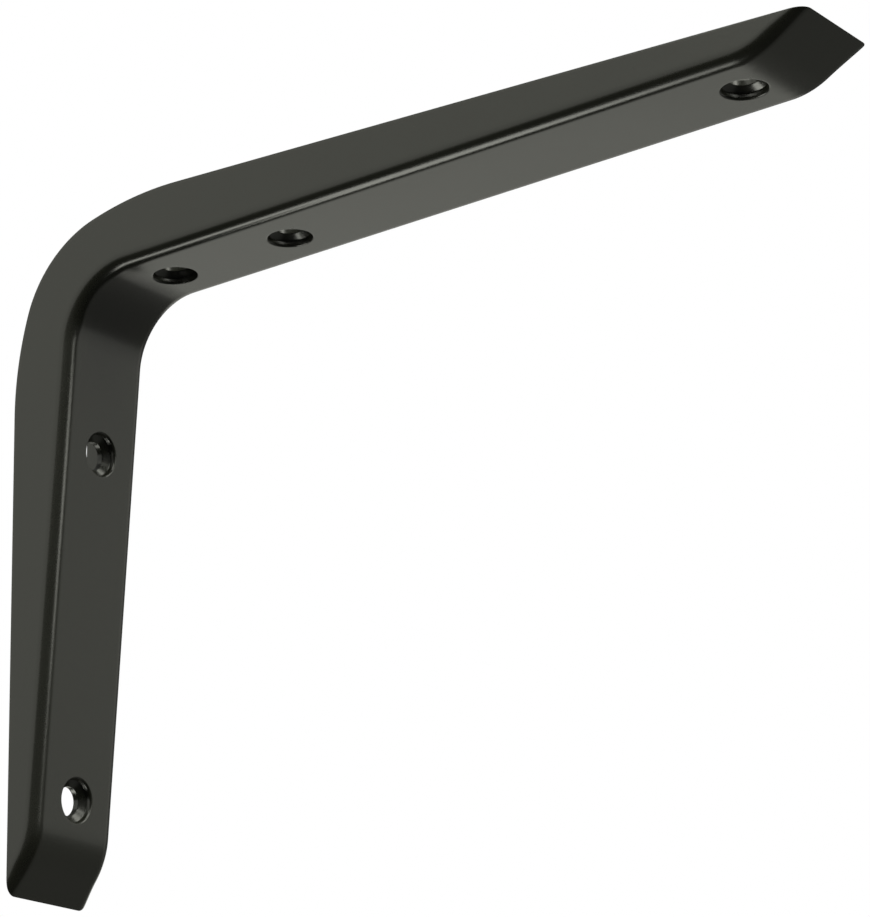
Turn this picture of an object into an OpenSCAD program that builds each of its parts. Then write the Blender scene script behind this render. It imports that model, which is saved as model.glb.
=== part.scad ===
// Cantilever shelf bracket: one steel sheet pressed into an L-shaped channel.
// The wall lies on the plane X = 0, the shelf rests on the plane Z = 0, and the
// two planes meet at the origin, half way across the bracket's width.

/* [Arms] */
// Length of the arm that lies on the wall
wall_arm = 150; // [110:1:250]
// Length of the arm that carries the shelf
shelf_arm = 200; // [120:1:300]
// Width across the outsides of the two flanges
width = 26; // [22:0.5:40]

/* [Sheet] */
// Thickness of the steel sheet
sheet = 1.5; // [1:0.1:2]
// Outside radius of the bend between the web and a flange
bend_r = 3; // [2.2:0.1:5]

/* [Channel depth] */
// Depth of the channel where the wall arm's nose begins
wall_nose_depth = 7.3; // [6:0.1:12]
// Depth of the channel where the shelf arm's nose begins
shelf_nose_depth = 7.8; // [6:0.1:12]
// Length along the wall of the sloping nose
wall_nose_length = 10; // [8:0.5:14]
// Length along the shelf of the sloping nose
shelf_nose_length = 12.6; // [9:0.1:16]
// Angle at which the wall arm deepens towards the corner
wall_taper = 4.3; // [2:0.1:6]
// Angle at which the shelf arm deepens towards the corner
shelf_taper = 2.9; // [1.5:0.1:5]
// Radius of the soft bend where each nose begins
nose_bend_r = 18; // [12:1:24]

/* [Corner] */
// Radius of the web in the inside corner
inside_r = 15.8; // [8:0.1:24]
// Radius of the flanges' outer corner at its middle
outside_r = 27.5; // [20:0.5:34]
// Radius that eases the outer corner into each straight edge
ease_r = 78; // [60:1:90]
// Angle turned by each easing curve
ease_angle = 17; // [10:1:22]

/* [Screw cups] */
// Diameter of the hole that a screw passes through
screw_hole_d = 6.3; // [5:0.1:7]
// Diameter inside the cup's straight wall
cup_d = 9.4; // [8.8:0.1:11]
// Depth at which the cup's wall meets its sloping floor
cup_wall_depth = 1.3; // [1:0.1:1.6]
// Depth at which the sloping floor meets the screw's hole
cup_depth = 2.35; // [2:0.05:3]
// Radius of the cup's rounded rim
rim_r = 0.5; // [0.4:0.1:0.8]
// Upper wall hole, below the shelf plane
wall_hole_upper = 52.5; // [48:0.5:60]
// Lower wall hole, above the wall arm's tip
wall_hole_lower = 21.4; // [20:0.1:28]
// Shelf hole nearest the corner, from the wall plane
shelf_hole_inner = 34.3; // [34:0.1:40]
// Second shelf hole, from the wall plane
shelf_hole_middle = 65.7; // [58:0.1:75]
// Outer shelf hole, from the shelf arm's tip
shelf_hole_outer = 21.5; // [20:0.5:30]

/* [Hidden] */
$fn = 96;

// Extra length with which a solid passes the face that cuts it
past = 6;
// Fillet between a cup's wall and its floor
floor_r = 0.4;
// Height by which a rim's rounding passes the web's face, to meet it at an edge
rim_over = 0.06;
// Steps in the round edge between the web and a flange
edge_steps = 6;
// Steps in each arc of the flanges' outer corner
arc_steps = 12;

// The web's outer line in the plane of X and Z, from the wall arm's tip to the
// shelf arm's tip, with the radius of the bend at each of its points and the
// steps in which that bend is made
wall_bend = [wall_nose_depth, wall_nose_length - wall_arm];
shelf_bend = [shelf_arm - shelf_nose_length, -shelf_nose_depth];
web_corner = meet(wall_bend, 90 - wall_taper, shelf_bend, shelf_taper);
web_line = [[0, -wall_arm], wall_bend, web_corner, shelf_bend, [shelf_arm, 0]];
web_radii = [0, nose_bend_r, inside_r, nose_bend_r, 0];
web_steps = [0, 6, 14, 6, 0];

// Distance from the origin at which the outer corner meets each straight edge
corner_reach = ease_r * (1 - cos(ease_angle) + sin(ease_angle))
    + outside_r * (cos(ease_angle) - sin(ease_angle));

// Point where two lines meet, each given by a point and a direction in degrees
function meet(p, a, q, b) =
    let (d = q - p, k = (d[0] * sin(b) - d[1] * cos(b)) / sin(b - a))
    p + k * [cos(a), sin(a)];
// Direction in degrees from one point of the web's line to the next
function heading(i) =
    let (d = web_line[i + 1] - web_line[i]) atan2(d[1], d[0]);
// Angle turned at a point of the web's line, positive towards the wall
function turn(i) = heading(i) - heading(i - 1);
// Centre of the bend at a point of the web's line
function bend_centre(i) =
    let (a = heading(i - 1), r = sign(turn(i)) * web_radii[i])
    web_line[i] + r * [-sin(a), cos(a)] - r * tan(turn(i) / 2) * [cos(a), sin(a)];
// Points and directions of the web's line through one bend
function bend_stations(i) = [
    for (k = [0 : web_steps[i]]) let (a = heading(i - 1) + turn(i) * k / web_steps[i])
    [bend_centre(i) + sign(turn(i)) * web_radii[i] * [sin(a), -cos(a)], a]
];
// Point and direction on the web's line at a distance beyond one of its points
function station(i, leg, distance) =
    [web_line[i] + distance * [cos(heading(leg)), sin(heading(leg))], heading(leg)];
// Face of the web at a height on the wall or at a distance from the wall
function wall_face(z) = wall_bend[0] + (z - wall_bend[1]) * tan(wall_taper);
function shelf_face(x) = shelf_bend[1] + (x - shelf_bend[0]) * tan(shelf_taper);
// Points of an arc between two directions
function arc(centre, r, from, to) =
    [for (k = [0 : arc_steps])
        let (a = from + (to - from) * k / arc_steps) centre + r * [cos(a), sin(a)]];

// Half of the section's outer or inner line, from the flange's edge to the web,
// as depth below the web's face and distance from the middle
function half_line(depth, inset) = concat(
    [[depth, width / 2 - inset]],
    [for (k = [0 : edge_steps]) let (a = 90 * k / edge_steps)
        [bend_r - (bend_r - inset) * sin(a), width / 2 - bend_r + (bend_r - inset) * cos(a)]]
);
// Whole of that line, from one flange's edge to the other's
function section_line(depth, inset) =
    let (half = half_line(depth, inset), last = len(half) - 1) concat(
        [for (p = half) [p[0], -p[1]]],
        [for (k = [last : -1 : 0]) half[k]]
    );
// Depth at which a section has passed the wall or the shelf
function cut_depth(p, a) = 1 + max(bend_r, min(p[0] / sin(a), -p[1] / cos(a)));
// The section's points where the web's line is at a point in a direction
function ring(p, a) = [
    for (inset = [0, sheet]) for (q = section_line(cut_depth(p, a), inset))
    [p[0] - q[0] * sin(a), q[1], p[1] + q[0] * cos(a)]
];

// The bent sheet, swept along the web's line and not yet trimmed
module swept_sheet() {
    stations = concat(
        [station(0, 0, -past)], bend_stations(1), bend_stations(2), bend_stations(3),
        [station(4, 3, past)]
    );
    n = len(section_line(past, 0));
    last = len(stations) - 1;
    // Corners of a section as one loop: the outer line, then the inner one back
    loop = concat([for (k = [0 : n - 1]) k], [for (k = [2 * n - 1 : -1 : n]) k]);
    sides = [
        for (s = [0 : last - 1]) for (k = [0 : 2 * n - 1])
            let (a = s * 2 * n + loop[k], b = s * 2 * n + loop[(k + 1) % (2 * n)])
            each [[a, a + 2 * n, b], [b, a + 2 * n, b + 2 * n]]
    ];
    ends = [
        for (k = [0 : n - 2]) each [
            [k, k + 1, k + n + 1], [k, k + n + 1, k + n],
            for (f = [[k, k + n + 1, k + 1], [k, k + n, k + n + 1]]) [for (c = f) c + last * 2 * n]
        ]
    ];
    polyhedron([for (s = stations) each ring(s[0], s[1])], concat(sides, ends));
}

// Side view that trims the flanges: straight along the wall and the shelf, with
// an outer corner of three arcs that run smoothly into each other
module side_view() {
    a = ease_angle;
    wall_centre = [ease_r, -corner_reach];
    shelf_centre = [corner_reach, -ease_r];
    middle_centre = wall_centre + (ease_r - outside_r) * [-cos(a), sin(a)];
    polygon(concat(
        [[shelf_arm + past, 0], [shelf_arm + past, -wall_arm - past], [0, -wall_arm - past]],
        arc(wall_centre, ease_r, 180, 180 - a),
        arc(middle_centre, outside_r, 180 - a, 90 + a),
        arc(shelf_centre, ease_r, 90 + a, 90)
    ));
}

// The bent sheet before its screw cups are drawn
module channel() {
    intersection() {
        swept_sheet();
        translate([0, width, 0]) rotate([90, 0, 0]) linear_extrude(2 * width) side_view();
    }
}

// Puts a cup at every screw hole, with Z along the screw and Z = 0 on the web's
// face, square to that face
module at_screw_holes() {
    for (z = [-wall_hole_upper, wall_hole_lower - wall_arm])
        translate([wall_face(z), 0, z]) rotate([0, 90 + wall_taper, 0]) children();
    for (x = [shelf_hole_inner, shelf_hole_middle, shelf_arm - shelf_hole_outer])
        translate([x, 0, shelf_face(x)]) rotate([0, 180 - shelf_taper, 0]) children();
}

// Angle at which a cup's floor slopes down to the screw's hole
floor_slope = atan((cup_depth - cup_wall_depth) / (cup_d - screw_hole_d) * 2);

// Corner between a cup's wall and its sloping floor that their fillet leaves out
module floor_corner(corner, fillet) {
    run = tan(45 - floor_slope / 2);
    reach = fillet + past;
    translate(corner + fillet * [-1, run]) difference() {
        polygon(reach * [[0, 0], [1, 0], [1, -run], [sin(floor_slope), -cos(floor_slope)]]);
        circle(fillet);
    }
}

// Steel of a drawn cup, a sheet thick, which starts inside the sheet of the web
module cup_steel() {
    r = cup_d / 2 + sheet;
    under = cup_wall_depth + sheet / cos(floor_slope);
    corner = [r, sheet * tan(floor_slope) - under];
    rotate_extrude() difference() {
        polygon([[0, corner[1] - r * tan(floor_slope)], corner, [r, -rim_over], [0, -rim_over]]);
        floor_corner(corner, floor_r + sheet);
    }
}

// Space inside a cup, with its rounded rim and the screw's hole
module cup_space() {
    hole_r = screw_hole_d / 2;
    corner = [cup_d / 2, -cup_wall_depth];
    rim = [cup_d / 2 + rim_r, rim_over - rim_r];
    rotate_extrude() difference() {
        polygon([
            [0, -cup_depth - past], [hole_r, -cup_depth - past], [hole_r, -cup_depth],
            corner, [cup_d / 2, rim[1]], rim, [rim[0], past], [0, past]
        ]);
        floor_corner(corner, floor_r);
        translate(rim) circle(rim_r);
    }
}

module bracket() {
    color([0.24, 0.24, 0.21]) difference() {
        union() {
            channel();
            at_screw_holes() cup_steel();
        }
        at_screw_holes() cup_space();
    }
}

bracket();
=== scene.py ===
import math

import bmesh
import bpy
import numpy as np
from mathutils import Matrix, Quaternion, Vector


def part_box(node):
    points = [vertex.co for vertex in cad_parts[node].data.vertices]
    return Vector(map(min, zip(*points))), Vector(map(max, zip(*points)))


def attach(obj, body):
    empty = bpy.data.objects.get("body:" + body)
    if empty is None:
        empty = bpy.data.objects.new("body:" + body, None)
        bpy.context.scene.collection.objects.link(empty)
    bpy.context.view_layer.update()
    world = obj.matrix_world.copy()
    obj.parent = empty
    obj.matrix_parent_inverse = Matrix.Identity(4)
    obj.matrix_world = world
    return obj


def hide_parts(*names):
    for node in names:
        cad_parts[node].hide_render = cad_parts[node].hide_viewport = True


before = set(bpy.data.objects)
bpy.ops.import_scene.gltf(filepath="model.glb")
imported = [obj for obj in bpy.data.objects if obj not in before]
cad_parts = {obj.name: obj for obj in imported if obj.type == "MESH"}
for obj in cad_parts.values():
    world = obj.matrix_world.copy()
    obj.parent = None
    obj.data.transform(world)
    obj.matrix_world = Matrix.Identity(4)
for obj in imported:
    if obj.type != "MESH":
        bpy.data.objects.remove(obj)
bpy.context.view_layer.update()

MM = 0.001
FLOOR_DROP = 1.60          # how far the floor lies below the shelf plane
FLOOR_HALF = 8.0           # half the side of the floor

# The camera stands out from the near flange, turned by this azimuth towards the arms' free
# ends and lowered by this elevation, in degrees. Its lens is in millimetres.
VIEW_AZIMUTH, VIEW_ELEVATION, VIEW_ROLL = 34.7, -17.17, -0.94
VIEW_TARGET, VIEW_DISTANCE, VIEW_LENS = (0.1024, 0.0, -0.0702), 0.777, 149.45

# Plain soft studio: each round lamp has the slope of the face that shows it to the camera,
# or of a face that would, its distance and width in metres, and its brightness
MIDDLE = Vector((0.085, 0.0, -0.065))
WORLD_LIGHT = 0.12         # even light from all round
LAMP_TINT = (1.0, 1.01, 0.91)
LAMPS = {
    "flange_lamp": ((0, -1, 0), 1.0, 1.2, 0.9),
    "wall_web_lamp": ((1, 0, 0), 1.0, 0.9, 0.6),
    "shelf_web_lamp": ((0, 0, -1), 1.0, 0.8, 0.8),
    "corner_lamp": ((1, 0, -1), 1.0, 1.2, 0.2),
    "wall_bend_lamp": ((1, -0.5, 0), 1.0, 0.4, 5.0),
    "shelf_bend_lamp": ((0, -0.7, -1), 0.7, 0.4, 6.0),
    "front_lamp": ((0.4, -0.9, 0.35), 1.0, 1.0, 4.0),
    "right_lamp": ((1, -0.6, 0.4), 1.0, 1.0, 4.0),
}

# The sheet's sizes in millimetres, in the row's frame: the wall is the plane
# X = 0, the shelf rests on the plane Z = 0.
LOW, HIGH = [np.array(c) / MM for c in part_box("bracket")]
WALL_ARM, SHELF_ARM, WIDTH = -LOW[2], HIGH[0], HIGH[1] - LOW[1]
SHEET = 1.5
BEND_R = 3.0
TIP_BEND = (1.7, 2.6)      # depth and width of the bend where it is cut at a tip
WALL_NOSE = (7.3, 10.0)    # depth of the channel at the nose, length of the nose
SHELF_NOSE = (7.8, 12.6)
WALL_TAPER = math.radians(4.3)
SHELF_TAPER = math.radians(2.9)
NOSE_BEND_R = 18.0
INSIDE_R = 15.8
OUTSIDE_R = 27.5
EASE_R = 78.0
EASE = math.radians(17.0)
EDGE_R = 0.15              # rounding of the sheet's cut edges under the coat

# Screw cups, in millimetres
HOLE_R = 3.15
CUP_R = 4.7                # inside a cup's straight wall
WALL_DEPTH = 1.3           # depth at which that wall meets the sloping floor
HOLE_DEPTH = 2.35          # depth at which the floor meets the screw's hole
FLOOR_SLOPE = math.atan2(HOLE_DEPTH - WALL_DEPTH, CUP_R - HOLE_R)
RIM_R = 0.5
FLOOR_R = 0.4
BACK_R = 0.3               # fillet where a cup's back leaves the web
HOLE_EDGE_R = 0.15
LIP_R = 0.35               # rounding of the hole's far edge
WALL_HOLES = (-128.6, -52.5)
SHELF_HOLES = (34.3, 65.7, 178.5)
PATCH = 8.0                # half side of the square of web that holds a cup
PATCH_CELLS = 24           # cells along a side of that square
BACK_STEPS = 5             # rows of the fillet at a cup's back
SKIRT_SHARES = (0.0, 0.35, 0.65, 0.88, 0.97)   # rings from the square in to the cup's circle
RUN_SHARES = (0.12, 0.5, 0.88)                 # rows on a straight run of the cup's profile
NEARLY_TOUCHING = 0.3      # a run no longer than this gets no rows of its own
BEND_STEP = 0.5            # longest row spacing in the web's bends
STRAIGHT_STEP = 1.6        # longest row spacing on its straight runs
FLANGE_SHARES = (0.02, 0.08, 0.25, 0.5, 0.75, 0.92, 1.0)   # columns from bend to free edge
BORDER_STEPS = 4           # steps of each rounding along the cut edge


# ---------------------------------------------------------------- the web's line

def unit(angle):
    """Direction of an angle in the plane of X and Z."""
    return np.array([math.cos(angle), math.sin(angle)])


def web_corners():
    """Corners of the web's line: wall tip, wall nose, inside corner, shelf nose, shelf tip.
    The inside corner is where the two arms' straight faces meet."""
    p = np.array([WALL_NOSE[0], WALL_NOSE[1] - WALL_ARM])
    q = np.array([SHELF_ARM - SHELF_NOSE[1], -SHELF_NOSE[0]])
    a, b = math.pi / 2 - WALL_TAPER, SHELF_TAPER
    d = q - p
    k = (d[0] * math.sin(b) - d[1] * math.cos(b)) / math.sin(b - a)
    return [np.array([0.0, -WALL_ARM]), p, p + k * unit(a), q, np.array([SHELF_ARM, 0.0])]


CORNERS = web_corners()
HEADINGS = [math.atan2(*(b - a)[::-1]) for a, b in zip(CORNERS, CORNERS[1:])]


def web_pieces():
    """Straight and round pieces of the web's line as (start length, length, start point,
    heading, signed bend), each round piece cutting its corner at the tangent points."""
    pieces, point, length = [], CORNERS[0], 0.0
    for i, radius in ((1, NOSE_BEND_R), (2, INSIDE_R), (3, NOSE_BEND_R), (4, 0.0)):
        turn = HEADINGS[i] - HEADINGS[i - 1] if i < 4 else 0.0
        cut = abs(radius * math.tan(turn / 2))
        run = np.linalg.norm(CORNERS[i] - point) - cut
        pieces.append((length, run, point, HEADINGS[i - 1], 0.0))
        length += run
        point = point + run * unit(HEADINGS[i - 1])
        if cut:
            pieces.append((length, abs(turn) * radius, point, HEADINGS[i - 1], turn / (abs(turn) * radius)))
            length += abs(turn) * radius
            point = CORNERS[i] + cut * unit(HEADINGS[i])
    return pieces


PIECES = web_pieces()
WEB_LENGTH = PIECES[-1][0] + PIECES[-1][1]


def on_web(s):
    """Points and headings at lengths s along the web's line. On a straight piece the point
    runs along the heading; on a round one the heading turns by length times bend."""
    s = np.asarray(s, float)
    points, headings = np.empty(s.shape + (2,)), np.empty(s.shape)
    for k, (start, run, origin, heading, bend) in enumerate(PIECES):
        inside = (s >= start - 1e-9) if k else np.full(s.shape, True)
        t = s[inside] - start
        if bend:
            turned = heading + bend * t
            x = (np.sin(turned) - math.sin(heading)) / bend
            z = (math.cos(heading) - np.cos(turned)) / bend
        else:
            turned = np.full(t.shape, heading)
            x, z = t * math.cos(heading), t * math.sin(heading)
        points[inside] = origin + np.stack([x, z], -1)
        headings[inside] = turned
    return points, headings


def below(s, depth):
    """Points at a depth behind the web's face, square to its line."""
    points, a = on_web(s)
    return points + np.asarray(depth)[..., None] * np.stack([-np.sin(a), np.cos(a)], -1)


# ---------------------------------------------------------------- the free edges

REACH = EASE_R * (1 - math.cos(EASE) + math.sin(EASE)) + OUTSIDE_R * (math.cos(EASE) - math.sin(EASE))
WALL_EASE = np.array([EASE_R, -REACH])
SHELF_EASE = np.array([REACH, -EASE_R])
CORNER_MIDDLE = WALL_EASE + (EASE_R - OUTSIDE_R) * np.array([-math.cos(EASE), math.sin(EASE)])


def depth_to_edge(s, back):
    """Depth from the web's face to the flange's free edge, moved back into the flange: the
    distance along the square to the wall's line, to one of the corner's three arcs or to the
    shelf's line, whichever the free edge follows there."""
    p, a = on_web(s)
    n = np.stack([-np.sin(a), np.cos(a)], -1)
    with np.errstate(divide="ignore", invalid="ignore"):
        to_wall = (back - p[..., 0]) / n[..., 0]
        to_shelf = (-back - p[..., 1]) / n[..., 1]

    def to_arc(centre, radius):
        d = p - centre
        b = (d * n).sum(-1)
        return -b + np.sqrt(np.maximum(b * b - (d * d).sum(-1) + (radius - back) ** 2, 0))

    def hit_angle(centre, distance):
        d = p + distance[..., None] * n - centre
        return np.arctan2(d[..., 1], d[..., 0])

    wall_arc = to_arc(WALL_EASE, EASE_R)
    middle_arc = to_arc(CORNER_MIDDLE, OUTSIDE_R)
    shelf_arc = to_arc(SHELF_EASE, EASE_R)
    on_wall = p[..., 1] + to_wall * n[..., 1] <= -REACH
    on_shelf = p[..., 0] + to_shelf * n[..., 0] >= REACH
    near_wall = hit_angle(WALL_EASE, wall_arc) >= math.pi - EASE
    near_shelf = hit_angle(SHELF_EASE, shelf_arc) <= math.pi / 2 + EASE
    lower = s < PIECES[3][0] + PIECES[3][1] / 2
    return np.select(
        [on_wall & lower, on_shelf & ~lower, near_wall & lower, near_shelf & ~lower],
        [to_wall, to_shelf, wall_arc, shelf_arc], middle_arc)


# ---------------------------------------------------------------- the sheet's grid

def hole_lengths():
    """Length along the web's line of each screw hole."""
    rises = [PIECES[2][0] + (z - PIECES[2][2][1]) / math.sin(HEADINGS[1]) for z in WALL_HOLES]
    runs = [PIECES[4][0] + (x - PIECES[4][2][0]) / math.cos(HEADINGS[2]) for x in SHELF_HOLES]
    return rises + runs


HOLES = hole_lengths()


def spaced(a, b, step):
    """Lengths from a to b, without b, in equal steps no longer than step."""
    n = max(1, math.ceil((b - a) / step - 1e-6))
    return list(a + (b - a) * np.arange(n) / n)


def web_stations():
    """Lengths along the web's line at which the grid has a row: fine in the bends and in the
    cups' squares, wider along the straight runs."""
    marks = {round(p[0], 9): None for p in PIECES[1:]}
    squares = [(h - PATCH, h + PATCH) for h in HOLES]
    ends = sorted(set(marks) | {e for q in squares for e in q})
    ends = [e for e in ends if e in {x for q in squares for x in q} or not any(a < e < b for a, b in squares)]
    rows = []
    for a, b in zip(ends, ends[1:]):
        if any(abs(a - q[0]) < 1e-6 for q in squares):
            rows += list(a + 2 * PATCH * np.arange(PATCH_CELLS) / PATCH_CELLS)
        else:
            bent = any(p[4] and p[0] - 1e-6 <= a and b <= p[0] + p[1] + 1e-6 for p in PIECES)
            rows += spaced(a, b, BEND_STEP if bent else STRAIGHT_STEP)
    return np.array(rows + [ends[-1]])


STATIONS = web_stations()
TIP_CELLS = 14             # rows on each tip's straight nose
TIP_STEPS = 12             # steps that find where a column meets the wall or the shelf
ARC_CELLS = 12             # columns round the bend between web and flange
HALF = WIDTH / 2


def bend_size(s):
    """Depth and width over which the web turns into a flange at lengths s: the bend's radius
    along the arms, and less along each nose, by a smooth step, to round the cut tip's corner."""
    wall = np.clip(1 - s / PIECES[0][1], 0, 1)
    shelf = np.clip(1 - (WEB_LENGTH - s) / PIECES[-1][1], 0, 1)
    share = np.maximum(wall, shelf)
    share = share * share * (3 - 2 * share)
    return [BEND_R + (tip - BEND_R) * share for tip in TIP_BEND]


def section_columns():
    """Columns across half of the sheet, from the middle of the web to a flange's free edge, as
    the share of the flat web, the angle turned in the bend and the share of the flange."""
    web = np.arange(0, PATCH_CELLS // 2 + 1) * 2 * PATCH / PATCH_CELLS
    web = np.concatenate([web, [PATCH + 0.9, HALF - BEND_R - 0.2]]) / (HALF - BEND_R)
    turn = np.arange(ARC_CELLS + 1) / ARC_CELLS * math.pi / 2
    flange = np.array(FLANGE_SHARES)
    return (
        np.concatenate([web, np.ones(turn.size + flange.size)]),
        np.concatenate([np.zeros(web.size), turn, np.full(flange.size, math.pi / 2)]),
        np.concatenate([np.zeros(web.size + turn.size), flange]))


def section_width(wide, inset, web, turn):
    """Distance from the middle of the web: the flat web's share, then the bend's quarter."""
    return (HALF - wide) * web + (wide - inset) * np.sin(turn)


def sheet_face(inset, back):
    """Grid of points on the sheet at an inset from its outer face, ending a distance back
    from its free edges: rows run from tip to tip, columns from flange to flange. The depth
    goes round a quarter of an ellipse in the bend, then down the flange. A column's end rows
    start where its depth meets the wall or the shelf, found by a few repeated steps."""
    web, turn, flange = section_columns()
    order = np.concatenate([np.arange(web.size - 1, 0, -1), np.arange(web.size)])
    side = np.concatenate([-np.ones(web.size - 1), np.ones(web.size)])
    web, turn, flange = web[order], turn[order], flange[order]

    def bend_depth(s):
        deep = bend_size(s)[0]
        return deep - (deep - inset) * np.cos(turn)

    first, last = HEADINGS[0], HEADINGS[3]
    start, end = np.zeros(web.size), np.full(web.size, WEB_LENGTH)
    for _ in range(TIP_STEPS):
        start = (back + math.sin(first) * bend_depth(start)) / math.cos(first)
        end = WEB_LENGTH - (back + math.cos(last) * bend_depth(end)) / math.sin(last)
    k = (np.arange(TIP_CELLS) / TIP_CELLS)[:, None]
    s = np.concatenate([
        start + (STATIONS[0] - start) * k,
        np.repeat(STATIONS[:, None], web.size, 1),
        (end + (STATIONS[-1] - end) * k)[::-1],
    ])
    deep, wide = bend_size(s)
    reach = bend_depth(s) + flange * (np.maximum(depth_to_edge(s, back), deep) - deep)
    p = below(s, reach)
    return np.stack([p[..., 0], side * section_width(wide, inset, web, turn), p[..., 1]], -1)


def edge_loop(inset, back):
    """The same grid's border as one closed loop."""
    g = sheet_face(inset, back)
    return np.concatenate([g[:-1, 0], g[-1, :-1], g[:0:-1, -1], g[0, :0:-1]])


def grid_faces(rows, columns, closed=False, keep=None):
    """Four-cornered faces of a grid of rows and columns; closed joins its last column to its
    first; keep is a mask of cells."""
    i = np.arange(rows * columns).reshape(rows, columns)
    j = np.concatenate([i, i[:, :1]], 1) if closed else i
    f = np.stack([j[:-1, :-1], j[:-1, 1:], j[1:, 1:], j[1:, :-1]], -1)
    return f[keep] if keep is not None else f.reshape(-1, 4)


def square_loop():
    """A cup's square as (along, across) offsets, one round of its border, with the angles at
    which its points go to the cup's circle."""
    t = np.arange(PATCH_CELLS) / PATCH_CELLS * 2 * PATCH - PATCH
    whole = np.full(PATCH_CELLS, PATCH)
    along = np.concatenate([t, whole, -t, -whole])
    across = np.concatenate([-whole, t, whole, -t])
    angle = -0.75 * math.pi + np.arange(4 * PATCH_CELLS) / (4 * PATCH_CELLS) * 2 * math.pi
    return along, across, angle


def arc_rows(centre, radius, a, b, n):
    """Radius and depth of points on an arc of a cup's profile, between two angles in degrees
    measured from outwards towards deeper."""
    t = np.radians(np.linspace(a, b, n + 1))
    return np.stack([centre[0] + radius * np.cos(t), centre[1] + radius * np.sin(t)], -1)


def straight_rows(a, b):
    """Rows between two points of a cup's profile, close to its ends, that keep the shading of
    a straight run straight; none between points that nearly touch."""
    a, b = np.array(a), np.array(b)
    if np.linalg.norm(b - a) <= NEARLY_TOUCHING:
        return np.empty((0, 2))
    return a + (b - a) * np.array(RUN_SHARES)[:, None]


def cup_profile():
    """Radius and depth down a cup: out of the web's face over the round rim, down the straight
    wall, round to the sloping floor, through the hole, and up the cup's back, which lies a
    sheet's thickness behind, to the web's back. An arc between two runs has its centre where
    lines at its radius from both of them meet."""
    slope = math.degrees(FLOOR_SLOPE)
    shallow = math.tan(math.pi / 4 - FLOOR_SLOPE / 2)
    bottom = HOLE_DEPTH + SHEET / math.cos(FLOOR_SLOPE)
    corner = (CUP_R - FLOOR_R, WALL_DEPTH - FLOOR_R * shallow)
    outer_r = FLOOR_R + SHEET
    rise = SHEET + BACK_R - corner[1]
    meet = math.degrees(math.asin(rise / (outer_r + BACK_R)))
    back = (corner[0] + math.sqrt((outer_r + BACK_R) ** 2 - rise ** 2), SHEET + BACK_R)
    edge = (HOLE_R + HOLE_EDGE_R, HOLE_DEPTH + HOLE_EDGE_R * shallow)
    lip = (HOLE_R + LIP_R, bottom - LIP_R / shallow)
    runs = [
        arc_rows((CUP_R + RIM_R, RIM_R), RIM_R, 270, 180, 8),
        arc_rows(corner, FLOOR_R, 0, 90 - slope, 6),
        arc_rows(edge, HOLE_EDGE_R, 270 - slope, 180, 3),
        arc_rows(lip, LIP_R, 180, 90 - slope, 8),
        arc_rows(corner, outer_r, 90 - slope, meet, 5),
        arc_rows(back, BACK_R, 180 + meet, 270, BACK_STEPS)[1:],
    ]
    rows = runs[0]
    for run in runs[1:]:
        rows = np.concatenate([rows, straight_rows(rows[-1], run[0]), run])
    return rows


def cup_surfaces(s):
    """Rings of one cup at a length along the web's line. The flat ring between square and
    circle is blended in the web's own length and width, so it follows a bend that it
    reaches; below the rim the cup is round and square to the straight web."""
    along, across, angle = square_loop()
    origin, heading = on_web(np.array(s))
    forward, inward = unit(float(heading)), unit(float(heading) + math.pi / 2)
    profile = cup_profile()
    rings = []

    def web_ring(u, v, depth):
        p = below(s + u, np.full(u.shape, depth))
        return np.stack([p[:, 0], v, p[:, 1]], -1)

    def web_circle(r, depth):
        return web_ring(r * np.cos(angle), r * np.sin(angle), depth)

    def cup_ring(r, depth):
        u = r * np.cos(angle)
        p = origin + u[:, None] * forward + depth * inward
        return np.stack([p[:, 0], r * np.sin(angle), p[:, 1]], -1)

    def skirt(r, depth):
        rows = []
        for w in SKIRT_SHARES:
            u = (1 - w) * along + w * r * np.cos(angle)
            v = (1 - w) * across + w * r * np.sin(angle)
            rows.append(web_ring(u, v, depth))
        return rows

    rings += skirt(profile[0, 0], 0.0)
    front = web_circle(profile[0, 0], 0.0) - cup_ring(profile[0, 0], 0.0)
    rear = web_circle(profile[-1, 0], SHEET) - cup_ring(profile[-1, 0], SHEET)
    for r, depth in profile:
        on_rim = r > CUP_R - 1e-9 and depth <= RIM_R + 1e-9
        fade_front = np.clip(1 - depth / RIM_R, 0, 1) if on_rim else 0.0
        rings.append(cup_ring(r, depth) + front * fade_front)
    for k in range(BACK_STEPS):
        fade = (k + 1) / BACK_STEPS
        rings[k - BACK_STEPS] = rings[k - BACK_STEPS] + rear * fade * fade * (3 - 2 * fade)
    rings += skirt(profile[-1, 0], SHEET)[::-1]
    return np.stack(rings)


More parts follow.
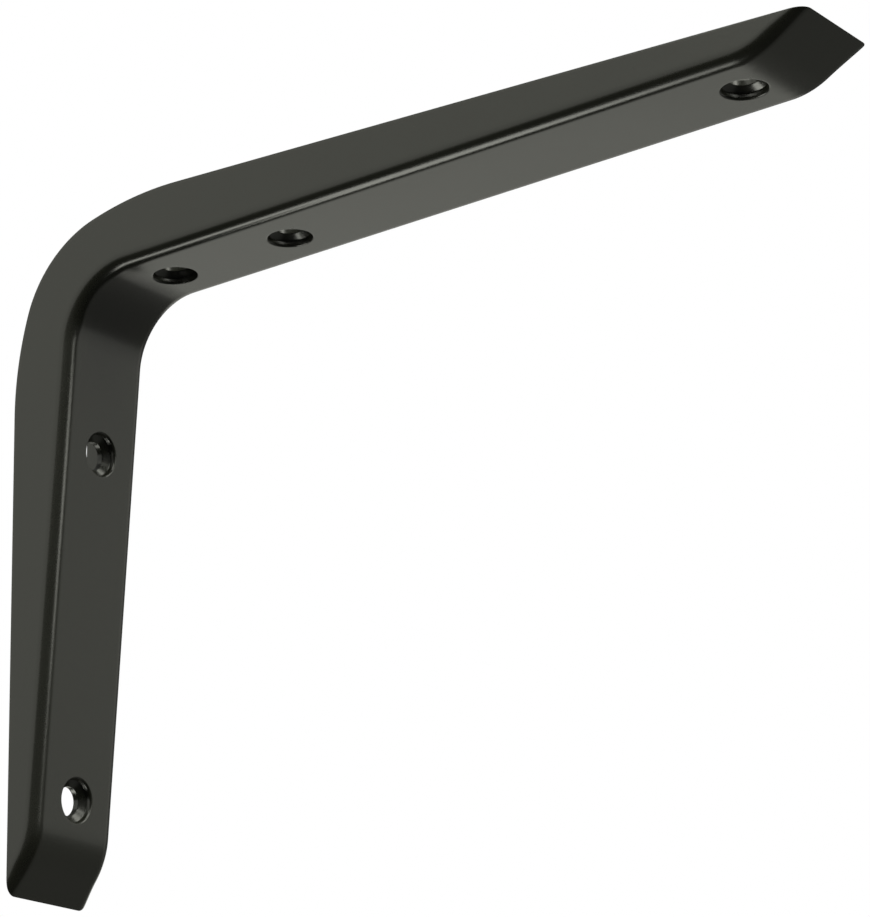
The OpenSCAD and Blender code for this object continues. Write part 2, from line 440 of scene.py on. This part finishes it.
def bracket_mesh():
    """The whole sheet as one closed mesh: outer face, inner face, the rounded border between
    them, and a cup at each hole. Cells of the two faces inside a cup's square are left out."""
    points, faces, count = [], [], 0

    def add(grid, **how):
        nonlocal count
        rows, columns = grid.shape[:2]
        points.append(grid.reshape(-1, 3))
        faces.append(grid_faces(rows, columns, **how) + count)
        count += rows * columns

    rows = np.concatenate([np.full(TIP_CELLS, -1.0), STATIONS, np.full(TIP_CELLS, -1.0)])
    web, turn, _ = section_columns()
    width = section_width(BEND_R, 0.0, web, turn)
    half_columns = width.size
    columns = np.concatenate([-width[:0:-1], width])
    row_mid = (rows[:-1] + rows[1:]) / 2
    column_mid = (columns[:-1] + columns[1:]) / 2
    in_row = np.zeros(row_mid.size, bool)
    for h in HOLES:
        in_row |= (np.abs(row_mid - h) < PATCH) & (rows[:-1] > 0) & (rows[1:] > 0)
    in_web = np.abs(column_mid) < PATCH
    in_web[:half_columns - 1 - PATCH_CELLS // 2] = False
    in_web[half_columns - 1 + PATCH_CELLS // 2:] = False
    keep = ~(in_row[:, None] & in_web[None, :])
    add(sheet_face(0.0, EDGE_R), keep=keep)
    add(sheet_face(SHEET, EDGE_R), keep=keep)
    t = np.radians(np.linspace(0, 90, BORDER_STEPS + 1))
    border = [(EDGE_R * (1 - math.cos(a)), EDGE_R * (1 - math.sin(a))) for a in t]
    border += [(SHEET - i, b) for i, b in border[::-1]]
    add(np.stack([edge_loop(i, b) for i, b in border]), closed=True)
    for h in HOLES:
        add(cup_surfaces(h), closed=True)

    mesh = bpy.data.meshes.new("bracket_sheet")
    mesh.from_pydata((np.concatenate(points) * MM).tolist(), [], np.concatenate(faces).tolist())
    b = bmesh.new()
    b.from_mesh(mesh)
    bmesh.ops.remove_doubles(b, verts=b.verts, dist=2e-6)
    bmesh.ops.dissolve_degenerate(b, edges=b.edges, dist=1e-7)
    bmesh.ops.recalc_face_normals(b, faces=b.faces)
    b.to_mesh(mesh)
    b.free()
    mesh.shade_smooth()
    return mesh


# ---------------------------------------------------------------- shader expressions

class Value:
    """A number socket in a node tree; arithmetic on it adds Math nodes."""

    def __init__(self, tree, socket):
        self.tree, self.socket = tree, socket

    def _math(self, operation, *inputs, clamp=False):
        node = self.tree.nodes.new("ShaderNodeMath")
        node.operation, node.use_clamp = operation, clamp
        for socket, value in zip(node.inputs, inputs):
            plug(self.tree, socket, value)
        return Value(self.tree, node.outputs[0])

    def __add__(self, other): return self._math("ADD", self, other)
    def __radd__(self, other): return self._math("ADD", other, self)
    def __sub__(self, other): return self._math("SUBTRACT", self, other)
    def __rsub__(self, other): return self._math("SUBTRACT", other, self)
    def __mul__(self, other): return self._math("MULTIPLY", self, other)
    def __rmul__(self, other): return self._math("MULTIPLY", other, self)

    def clamped(self): return self._math("ADD", self, 0.0, clamp=True)


def plug(tree, socket, value):
    """Sets a socket to a number or colour, or links it to a Value or another socket."""
    if isinstance(value, Value):
        tree.links.new(value.socket, socket)
    elif isinstance(value, bpy.types.NodeSocket):
        tree.links.new(value, socket)
    else:
        socket.default_value = value


class Shader:
    """A material's or a world's node tree, emptied, with short ways to add nodes."""

    def __init__(self, owner):
        owner.use_nodes = True
        self.tree = owner.node_tree
        self.tree.nodes.clear()

    def node(self, kind, settings=None, **inputs):
        """Adds a node, sets its settings first, then its inputs by name; an underscore in a
        name stands for a space."""
        n = self.tree.nodes.new(kind)
        for key, value in (settings or {}).items():
            setattr(n, key, value)
        for name, value in inputs.items():
            plug(self.tree, n.inputs[name.replace("_", " ")], value)
        return n

    def noise(self, place, scale, detail=2.0, roughness=0.5):
        n = self.node("ShaderNodeTexNoise", Vector=place, Scale=scale, Detail=detail, Roughness=roughness)
        return Value(self.tree, n.outputs["Fac"])

    def mix(self, share, a, b):
        n = self.node("ShaderNodeMix", {"data_type": "RGBA"})
        for i, v in ((0, share), (6, a), (7, b)):
            plug(self.tree, n.inputs[i], v)
        return n.outputs[2]


COAT_DARK = (0.0125, 0.0130, 0.0097, 1.0)
COAT_LIGHT = (0.0170, 0.0177, 0.0132, 1.0)
COAT_RUBBED = (0.060, 0.060, 0.054, 1.0)
SHARP_FROM = 0.54          # how far an edge stands out before its coat is rubbed
COAT_GLOSS = 0.20          # roughness of the coat at its smoothest
PEEL_HEIGHT = 0.00008      # height of the orange peel, in metres


def black_coat():
    """Satin black coat on steel: near black with an olive tint, faint clouds in its colour,
    a fine orange-peel surface, uneven gloss, and a trace of rubbing on the sharpest edges."""
    material = bpy.data.materials.new("black_coat")
    s = Shader(material)
    place = s.node("ShaderNodeTexCoord").outputs["Object"]
    clouds = s.noise(place, 60.0, 3.0)
    grain = s.noise(place, 1500.0, 2.0)
    peel = s.noise(place, 700.0, 2.0)
    swell = s.noise(place, 160.0, 2.0)
    tone = (clouds * 0.6 + grain * 0.4).clamped()
    coat_colour = s.mix(tone, COAT_DARK, COAT_LIGHT)
    raised = s.node("ShaderNodeNewGeometry").outputs["Pointiness"]
    raised = ((Value(s.tree, raised) - SHARP_FROM) * 14.0).clamped()
    rubbed = (raised * ((s.noise(place, 420.0, 3.0) - 0.46) * 6.0).clamped()).clamped()
    colour = s.mix(rubbed * 0.7, coat_colour, COAT_RUBBED)
    gloss = COAT_GLOSS + clouds * 0.05 + grain * 0.05 + rubbed * 0.12
    bump = s.node(
        "ShaderNodeBump", Strength=0.05, Distance=PEEL_HEIGHT, Height=peel * 0.6 + swell * 0.8)
    coat = s.node(
        "ShaderNodeBsdfPrincipled", Base_Color=colour, Roughness=gloss, Normal=bump.outputs[0])
    out = s.node("ShaderNodeOutputMaterial")
    s.tree.links.new(coat.outputs[0], out.inputs[0])
    return material


# ---------------------------------------------------------------- the stage

def for_camera(s, seen, other):
    """One shader for what the camera sees and another for the light that a surface gives."""
    path = s.node("ShaderNodeLightPath")
    mix = s.node("ShaderNodeMixShader")
    plug(s.tree, mix.inputs[0], path.outputs["Is Camera Ray"])
    plug(s.tree, mix.inputs[1], other)
    plug(s.tree, mix.inputs[2], seen)
    return mix.outputs[0]


def pale_floor():
    """Large plain pale floor below the bracket. The camera sees it lifted towards white, with
    the bracket's shadow kept."""
    mesh = bpy.data.meshes.new("floor")
    turns = ((-1, -1), (1, -1), (1, 1), (-1, 1))
    corners = [(x * FLOOR_HALF, y * FLOOR_HALF, -FLOOR_DROP) for x, y in turns]
    mesh.from_pydata(corners, [], [(0, 1, 2, 3)])
    floor = bpy.data.objects.new("floor", mesh)
    bpy.context.scene.collection.objects.link(floor)
    material = bpy.data.materials.new("pale_floor")
    s = Shader(material)
    matt = s.node("ShaderNodeBsdfDiffuse", Color=(0.80, 0.80, 0.79, 1.0))
    glow = s.node("ShaderNodeEmission", Color=(1.0, 1.0, 0.99, 1.0), Strength=0.6)
    both = s.node("ShaderNodeAddShader")
    plug(s.tree, both.inputs[0], matt.outputs[0])
    plug(s.tree, both.inputs[1], glow.outputs[0])
    dim = s.node("ShaderNodeBsdfDiffuse", Color=(0.08, 0.08, 0.08, 1.0))
    out = s.node("ShaderNodeOutputMaterial")
    s.tree.links.new(for_camera(s, both.outputs[0], dim.outputs[0]), out.inputs[0])
    mesh.materials.append(material)


def white_world(level):
    """Faint even light from all round, shown white behind the bracket."""
    world = bpy.data.worlds.new("studio")
    bpy.context.scene.world = world
    s = Shader(world)
    faint = s.node("ShaderNodeBackground", Color=(level, level, level, 1.0), Strength=1.0)
    white = s.node("ShaderNodeBackground", Color=(1.0, 1.0, 1.0, 1.0), Strength=1.0)
    out = s.node("ShaderNodeOutputWorld")
    s.tree.links.new(for_camera(s, white.outputs[0], faint.outputs[0]), out.inputs[0])


def view_direction():
    """Direction from the bracket to the camera."""
    a, e = math.radians(VIEW_AZIMUTH), math.radians(VIEW_ELEVATION)
    return Vector((math.sin(a) * math.cos(e), -math.cos(a) * math.cos(e), math.sin(e)))


def soft_lamp(name, slope, distance, width, brightness):
    """Round soft lamp turned to the bracket's middle, that the camera doesn't see. It lies
    where a face with this slope mirrors the camera: twice the normal's part of the view's
    direction, less that direction. Its power is its brightness times its area times pi."""
    view, normal = view_direction(), Vector(slope).normalized()
    away = 2 * normal.dot(view) * normal - view
    data = bpy.data.lights.new(name, "AREA")
    data.shape, data.size = "DISK", width
    data.energy = brightness * math.pi * math.pi * width ** 2 / 4
    data.color = LAMP_TINT
    lamp = bpy.data.objects.new(name, data)
    bpy.context.scene.collection.objects.link(lamp)
    lamp.location = MIDDLE + away * distance
    lamp.rotation_euler = away.to_track_quat("Z", "Y").to_euler()
    lamp.visible_camera = False
    return lamp


def camera():
    """Camera below the bracket, turned to its open side, far off with a long lens."""
    data = bpy.data.cameras.new("camera")
    data.sensor_width, data.sensor_fit = 36.0, "AUTO"
    data.lens = VIEW_LENS
    data.clip_start, data.clip_end = 0.05, 50.0
    cam = bpy.data.objects.new("camera", data)
    bpy.context.scene.collection.objects.link(cam)
    back = view_direction()
    cam.location = Vector(VIEW_TARGET) + back * VIEW_DISTANCE
    cam.rotation_mode = "QUATERNION"
    roll = Quaternion((0, 0, 1), math.radians(VIEW_ROLL))
    cam.rotation_quaternion = back.to_track_quat("Z", "Y") @ roll
    bpy.context.scene.camera = cam


scene = bpy.context.scene
scene.view_settings.view_transform = "Standard"
camera()
pale_floor()
white_world(WORLD_LIGHT)
for name, how in LAMPS.items():
    soft_lamp(name, *how)

sheet = bpy.data.objects.new("bracket_sheet", bracket_mesh())
scene.collection.objects.link(sheet)
sheet.data.materials.append(black_coat())
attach(sheet, "root")
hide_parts("bracket")
